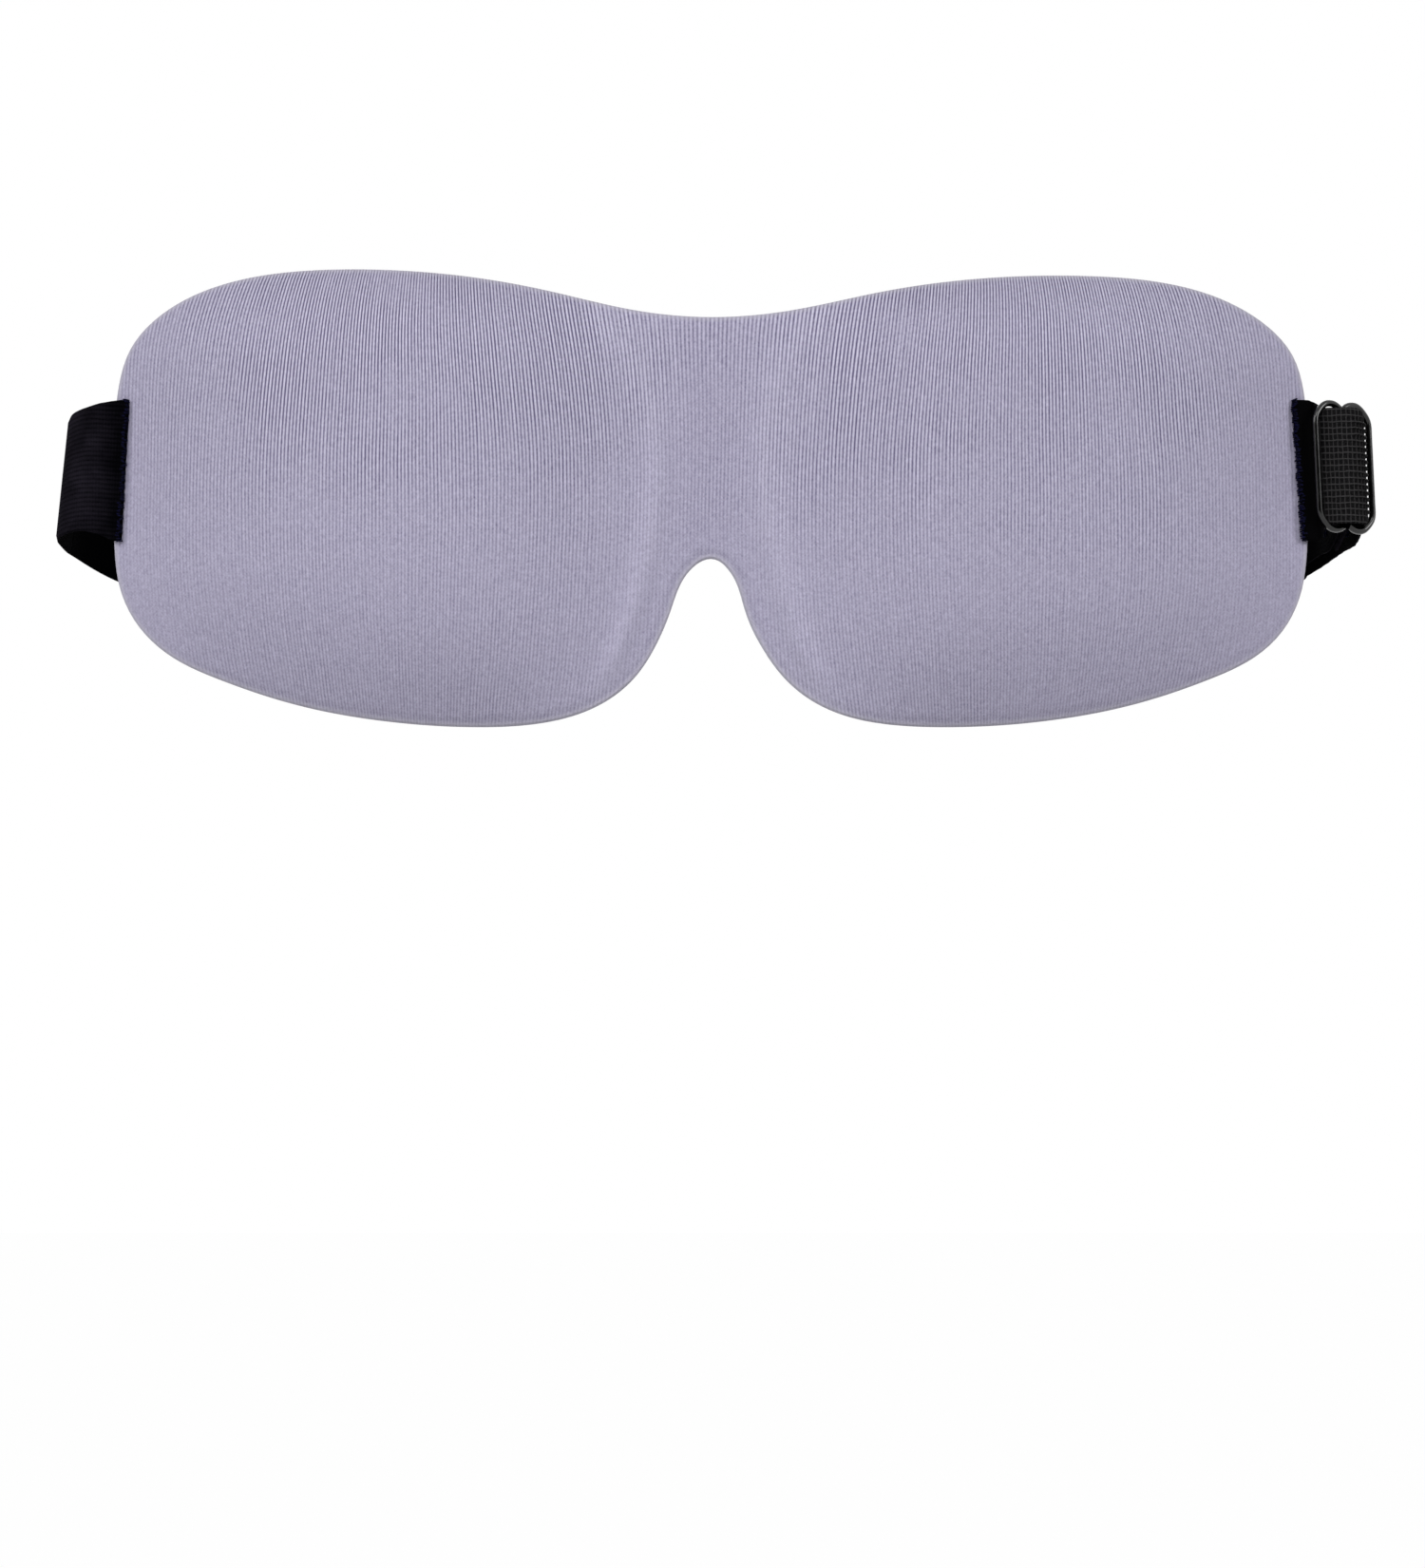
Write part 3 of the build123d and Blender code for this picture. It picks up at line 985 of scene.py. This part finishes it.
def make_left_strap():
    """The elastic from its sewn end round the mask's left edge. Returns where the rear strap takes over."""
    left_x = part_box("left_strap")[0][0] - LEFT_SLACK
    lap = surface_path(-1, LEFT_LAP, STRAP_THICK * 0.45)
    slope = math.degrees(END_SLOPE)
    centre = (left_x + LEFT_BEND, lap[-1, 1] + LEFT_BEND * math.cos(END_SLOPE))
    bend = arc(centre, LEFT_BEND, 270 - slope, -(90 - slope))
    side_end = BAR_Y + CORNER_BACK
    path = chain(lap, bend, straight((left_x, centre[1]), (left_x, side_end)))
    total = step_lengths(path).sum()

    def wide(s):
        return (13.0 - 1.6 * smooth_step(s, 0, 9 * MM)) * MM

    def lean(s):
        return LEFT_LEAN * ease(s, 3 * MM, 12 * MM)

    def sag(s):
        at_lap = 0.8 * MM * (1 - ease(s, 0, 9 * MM))
        at_bend = 0.25 * MM * (1 - ease(s, 9 * MM, 20 * MM))
        return at_lap - at_bend + left_sag(s - total)

    def skew(s):
        return 0.06 * (1 - ease(s, 1 * MM, 5 * MM))

    piece = band("elastic_left_front", path, wide, STRAP_THICK, lean, sag, skew, outside=-1)
    dress(piece, ELASTIC, None, "strap_elastic", "left_strap_end")
    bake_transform(piece)
    return side_end, left_x


def make_rear_strap(side_end, left_x):
    """The elastic round the back of the head and back round the slider's middle bar."""
    turn = math.radians(REAR_TURN)
    inner_x = BAR_X - LOOP_RADIUS
    outer_x = BAR_X + LOOP_RADIUS
    half_span = (inner_x - left_x) / 2
    rear_radius = (half_span - REAR_BEND * (1 - math.cos(turn))) / math.cos(turn)
    rear_y = side_end + REAR_BEND * math.sin(turn) - rear_radius * math.sin(turn)
    path = chain(
        arc((left_x + REAR_BEND, side_end), REAR_BEND, 180, -REAR_TURN, 1.2 * MM),
        arc(((inner_x + left_x) / 2, rear_y), rear_radius, 180 - REAR_TURN, 2 * REAR_TURN - 180, 1.5 * MM),
        arc((inner_x - REAR_BEND, side_end), REAR_BEND, REAR_TURN, -REAR_TURN, 1.2 * MM),
        straight((inner_x, side_end), (inner_x, BAR_Y)),
        arc((BAR_X, BAR_Y), LOOP_RADIUS, 180, 180, 0.25 * MM),
        straight((outer_x, BAR_Y), (outer_x, BAR_Y + LOOP_BACK)),
    )
    total = step_lengths(path).sum()
    fold = total - LOOP_BACK - LOOP_RADIUS * math.pi
    run = side_end - BAR_Y

    def wide(s):
        narrower = 0.7 * smooth_step(s, 4 * MM, 50 * MM)
        return (11.4 - narrower + 0.2 * smooth_step(s, fold - 30 * MM, fold)) * MM

    def lean(s):
        at_start = 1 - ease(s, 5 * MM, 60 * MM)
        at_end = ease(s, total - 110 * MM, total - 50 * MM)
        return LEFT_LEAN * at_start + RING_LEAN * at_end

    def sag(s):
        if s < total / 2:
            return left_sag(s)
        up = RING_UP * ease(s, fold - run, fold)
        if s < fold:
            return right_sag(fold - run - s) - up
        return right_sag(-run + max(0.0, s - total + LOOP_BACK)) - up

    piece = band("elastic_rear", path, wide, STRAP_THICK, lean, sag, outside=-1)
    dress(piece, ELASTIC, "strap", "strap_elastic", "left_strap")


def make_loop_stitches():
    """Two rows of thread through both layers of the elastic folded round the middle bar."""
    half = LOOP_RADIUS + STRAP_THICK / 2 + 0.1 * MM
    stitch = [
        (half, -1.2 * MM), (half, 1.1 * MM), (half - 0.4 * MM, 1.2 * MM),
        (-half + 0.4 * MM, 1.2 * MM), (-half, 1.1 * MM), (-half, -1.2 * MM),
    ]
    middle = STRAP_Z - (right_sag(LOOP_BACK - CORNER_BACK) - RING_UP)
    stitches = []
    for row in LOOP_ROWS:
        y = BAR_Y + LOOP_BACK - row
        for k in range(-2, 3):
            rise = k * LOOP_STITCH_GAP
            x = BAR_X - rise * RING_LEAN
            stitches.append(thread_run([(x + dx, y, middle + rise + dz) for dx, dz in stitch]))
    dress(join_pieces("loop_thread", stitches), THREAD, "strap", "thread", "loop_stitching")


def make_right_strap():
    """The webbing from its sewn end, through the slider and over the middle bar, to its hemmed tail."""
    lap = surface_path(1, RIGHT_LAP, STRAP_THICK * 0.6)
    start = lap[-1]
    away = np.array([BAR_X, BAR_Y]) - start
    reach = math.hypot(*away)
    heading = math.atan2(away[1], away[0]) - math.asin(OVER_RADIUS / reach)
    touch = heading - math.pi / 2
    rest = (BAR_X + OVER_RADIUS * math.cos(touch), BAR_Y + OVER_RADIUS * math.sin(touch))
    touch = math.degrees(touch)
    tail_x = BAR_X + OVER_RADIUS
    fine = 0.14 * MM
    path = chain(
        lap,
        straight(start, rest, fine),
        arc((BAR_X, BAR_Y), OVER_RADIUS, touch, -touch, 0.1 * MM),
        straight((tail_x, BAR_Y), (tail_x, BAR_Y + 6 * MM), fine),
        straight((tail_x, BAR_Y + 6 * MM), (tail_x, BAR_Y + CORNER_BACK)),
        arc((tail_x - TAIL_BEND, BAR_Y + CORNER_BACK), TAIL_BEND, 0, TAIL_TURN, 1.0 * MM),
    )
    steps = np.diff(path, axis=0)
    ends = np.cumsum(step_lengths(path))
    headings = np.unwrap(np.arctan2(steps[:, 1], steps[:, 0]))
    total = ends[-1]
    bend = total - math.radians(TAIL_TURN) * TAIL_BEND
    edge = step_lengths(lap).sum()
    over = edge + reach + OVER_RADIUS * 0.5
    leave_ring = bend - 15 * MM

    def wide(s):
        into_ring = 2.3 * smooth_step(s, edge - 0.6 * MM, edge + 2.3 * MM)
        out_of_ring = 0.7 * smooth_step(s, over + 1.0 * MM, over + 4.0 * MM)
        return (12.9 - into_ring - out_of_ring) * MM

    def relief(s, z):
        """How far the woven grid, the curled part past the bar and the hem stand out."""
        if s < edge + 1.0 * MM:
            return 0.0
        columns = max(0.0, math.cos(2 * math.pi * s / GRID_ALONG))**2
        rows = max(0.0, math.cos(2 * math.pi * z / GRID_ACROSS))**2
        curl = ease(s, over - 2 * MM, over + 1 * MM) * (1 - ease(s, over + 4 * MM, over + 5.5 * MM))
        curl *= 1 - ease(abs(z), 8.4 * MM, 9.4 * MM)
        hem = WEBBING_THICK * ease(s, total - HEM - 0.5 * MM, total - HEM + 0.3 * MM)
        return hem + max(0.13 * MM * columns, (0.14 + 0.42 * curl) * MM * rows)

    def off_ring(s):
        """The angle between the webbing's course and the ring, whose lean it follows."""
        return min(float(np.interp(s, ends, headings)), math.pi / 2) - SLIDER_YAW

    def lean(s):
        return -RING_LEAN * math.sin(off_ring(s)) * ease(s, edge, edge + 3 * MM)

    def sag(s):
        lifted = ease(s, edge - 0.6 * MM, edge + 1.4 * MM)
        up = RING_UP * lifted * (1 - ease(s, bend - 14 * MM, bend))
        return 0.5 * MM * (1 - lifted) + right_sag(s - bend) - up

    def skew(s):
        at_lap = 0.08
        follow = RING_LEAN * math.cos(off_ring(s)) * (1 - ease(s, leave_ring, bend))
        return at_lap + (follow - at_lap) * ease(s, edge, edge + 3 * MM)

    piece = band("webbing_right", path, wide, WEBBING_THICK, lean, sag, skew, relief, across=150)
    dress(piece, WEBBING, None, "slider_webbing", "right_strap", "right_strap_end")
    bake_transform(piece)
    make_hem_stitches(on_band(path, lean, sag), total - HEM + 1.2 * MM)


def make_hem_stitches(at, row):
    """A row of thread through the tail's hem, seen on both of its faces."""
    stitches = []
    for k in range(6):
        z = (k - 2.5) * HEM_STITCH_GAP
        for side in (1.5, -0.5):
            face = side * WEBBING_THICK + math.copysign(0.12 * MM, side)
            inner = face - math.copysign(0.4 * MM, side)
            stitches.append(thread_run([
                at(row, z - 1.1 * MM, inner), at(row, z - 1.0 * MM, face),
                at(row, z + 1.0 * MM, face), at(row, z + 1.1 * MM, inner),
            ]))
    dress(join_pieces("hem_thread", stitches), THREAD, "strap", "thread", "hem_stitching")


# ------------------------------------------------------------------ the slider

def tube(name, line, radius, closed=True, sides=16):
    """A round wire along a line of points."""
    n = len(line)
    tangent = unit(closed_course(line) if closed else np.gradient(line, axis=0))
    flat = np.array([math.sin(SLIDER_YAW), -math.cos(SLIDER_YAW), 0.0])
    side = unit(np.cross(tangent, flat))
    up = np.cross(side, tangent)
    turns = np.linspace(0, 2 * math.pi, sides, endpoint=False)
    points = [
        line[i] + radius * (math.cos(a) * side[i] + math.sin(a) * up[i])
        for i in range(n) for a in turns
    ]
    faces = []
    for i in range(n if closed else n - 1):
        j = (i + 1) % n
        for k in range(sides):
            m = (k + 1) % sides
            faces.append((i * sides + k, i * sides + m, j * sides + m, j * sides + k))
    if not closed:
        faces.append(tuple(range(sides)))
        faces.append(tuple((n - 1) * sides + k for k in reversed(range(sides))))
    obj = new_mesh(name, points, faces)
    tidy_mesh(obj, 1e-7)
    return obj


def make_slider():
    """A ring of coated wire with a middle bar, standing across the webbing."""
    high, side = SLIDER_HIGH, BAR_REACH
    quarter = [
        (0, high - BAR_NOTCH), (0.9 * MM, high - 0.55 * MM), (2.2 * MM, high - 0.02 * MM),
        (3.8 * MM, high - 0.1 * MM), (5.3 * MM, high - 1.1 * MM), (side - 0.2 * MM, high - 2.6 * MM),
        (side, high - 4.6 * MM), (side, high * 0.3),
    ]
    ring = quarter + [(side, 0)] + [(x, -z) for x, z in reversed(quarter)]
    ring += [(-x, z) for x, z in reversed(ring[1:-1])]
    tangent = np.array([math.cos(SLIDER_YAW), math.sin(SLIDER_YAW), 0])
    centre = np.array([BAR_X, BAR_Y, STRAP_Z + RING_UP])
    up = np.array([0, 0, 1.0])

    def place(u, z):
        return centre + (u - z * RING_LEAN) * tangent + (z - SLIDER_DROOP * max(u, 0)) * up

    ring_line = np.array([place(u, z) for u, z in closed_spline(ring, 260)])
    bar_line = np.array([place(0, z) for z in np.linspace(-(high - BAR_NOTCH), high - BAR_NOTCH, 24)])
    wires = [
        tube("rings", ring_line, WIRE_THICK / 2),
        tube("middle", bar_line, WIRE_THICK / 2, closed=False),
    ]
    dress(join_pieces("wire_slider", wires), WIRE, "slider", "coated_wire", "slider")


# ------------------------------------------------------------------ stage, lamps and camera

FLOOR_HALF = 4.0
FLOOR_BELOW = 0.5
FLOOR_LIFT = 0.99         # how much of the floor glows white where it is seen
CURTAIN_HALF = 1.6
CURTAIN_TOP = 1.8
CURTAIN_Y = -2.0
WORLD_LIGHT = 0.1


def panel(name, corners, look):
    """A flat four-cornered piece of the stage."""
    mesh = bpy.data.meshes.new(name)
    mesh.from_pydata(corners, [], [(0, 1, 2, 3)])
    mesh.materials.append(look)
    obj = add_object(name, mesh)
    return obj


def seen_rays(n):
    """1 for what the camera sees, be it directly, in a reflection or through something clear."""
    path = n.add("ShaderNodeLightPath")
    seen = n.math("MAXIMUM", path.outputs["Is Camera Ray"], path.outputs["Is Glossy Ray"])
    return n.math("MAXIMUM", seen, path.outputs["Is Transmission Ray"])


def mix_surface(n, factor, usual, seen, output):
    """Goes from the usual surface to the seen one by the factor."""
    mix = n.add("ShaderNodeMixShader")
    for socket, source in zip(mix.inputs, (factor, usual, seen)):
        n.link(source, socket)
    n.link(mix.outputs[0], n.tree.nodes[output].inputs["Surface"])


def make_stage():
    """A white floor, and a dark curtain that shows only in reflections."""
    white, n, shader = material("floor_white", 0.9)
    shader.inputs["Base Color"].default_value = (0.75, 0.75, 0.75, 1)
    glow = n.add("ShaderNodeEmission")
    glow.inputs["Strength"].default_value = 1.0
    glow.inputs["Color"].default_value = (1, 1, 1, 1)
    lift = n.times(seen_rays(n), FLOOR_LIFT)
    mix_surface(n, lift, shader.outputs[0], glow.outputs[0], "Material Output")
    z, s = cad_box[0][2] - FLOOR_BELOW, FLOOR_HALF
    panel("floor", [(-s, -s, z), (s, -s, z), (s, s, z), (-s, s, z)], white)

    dark, _, shader = material("curtain_dark", 0.9)
    shader.inputs["Base Color"].default_value = (0.02, 0.02, 0.02, 1)
    x, y, top = CURTAIN_HALF, CURTAIN_Y, CURTAIN_TOP
    curtain = panel("dark_curtain", [(-x, y, z), (x, y, z), (x, y, top), (-x, y, top)], dark)
    curtain.visible_camera = False
    curtain.visible_diffuse = False


def make_world():
    """White where it is seen, and only a soft light elsewhere."""
    world = bpy.data.worlds.new("studio")
    bpy.context.scene.world = world
    world.use_nodes = True
    n = Nodes(world.node_tree)
    soft = n.tree.nodes["Background"]
    white = n.add("ShaderNodeBackground")
    for node, strength in ((soft, WORLD_LIGHT), (white, 1.0)):
        node.inputs["Color"].default_value = (1, 1, 1, 1)
        node.inputs["Strength"].default_value = strength
    mix_surface(n, seen_rays(n), soft.outputs[0], white.outputs[0], "World Output")


# Each lamp's name, place, size and power.
LAMPS = [
    ("key_above", (0.1, -1.15, 0.85), (0.8, 0.6), 5.6),
    ("soft_left", (-1.2, -0.7, 0.55), (0.5, 0.8), 7.3),
    ("soft_right", (1.2, -0.7, 0.55), (0.5, 0.8), 8.2),
    ("strip_front", (-0.55, -1.05, 0.45), (0.3, 0.7), 3.8),
    ("soft_behind", (0.0, 1.3, 0.9), (1.2, 0.6), 7.0),
]


def make_lights():
    """Area lamps, all aimed at the origin."""
    for name, place, size, power in LAMPS:
        light = bpy.data.lights.new(name, "AREA")
        light.shape = "RECTANGLE"
        light.size, light.size_y = size
        light.energy = power
        lamp = add_object(name, light)
        lamp.location = place
        lamp.rotation_euler = (-Vector(place)).to_track_quat("-Z", "Y").to_euler()


DISTANCE = 0.70
VIEW_BELOW = math.radians(5.0)
FRAME_WIDE = 0.2574       # width of the view at that distance
CENTRE_UP = 0.0518        # how far above the origin the view's middle lies
SIDE_STEP = 0.3 * MM
SENSOR = 36               # millimetres


def make_camera():
    data = bpy.data.cameras.new("camera")
    data.sensor_fit = "HORIZONTAL"
    data.sensor_width = SENSOR
    data.lens = SENSOR * DISTANCE / FRAME_WIDE
    camera = add_object("camera", data)
    camera.location = (SIDE_STEP, -DISTANCE, -DISTANCE * math.tan(VIEW_BELOW))
    pitch = VIEW_BELOW - math.atan(CENTRE_UP / DISTANCE)
    camera.rotation_euler = (math.pi / 2 + pitch, 0, 0)
    bpy.context.scene.camera = camera


make_mask()
rear_start, rear_left = make_left_strap()
make_rear_strap(rear_start, rear_left)
make_loop_stitches()
make_right_strap()
make_slider()
make_bartack(1, "bartack_right", "right_end_stitching", 12.8 * MM, 106.8 * MM, 108.7 * MM, 66)
make_bartack(-1, "bartack_left", "left_end_stitching", 12.9 * MM, 107.1 * MM, 108.5 * MM, 64)
make_stage()
make_world()
make_lights()
make_camera()

bpy.context.scene.view_settings.view_transform = "Standard"
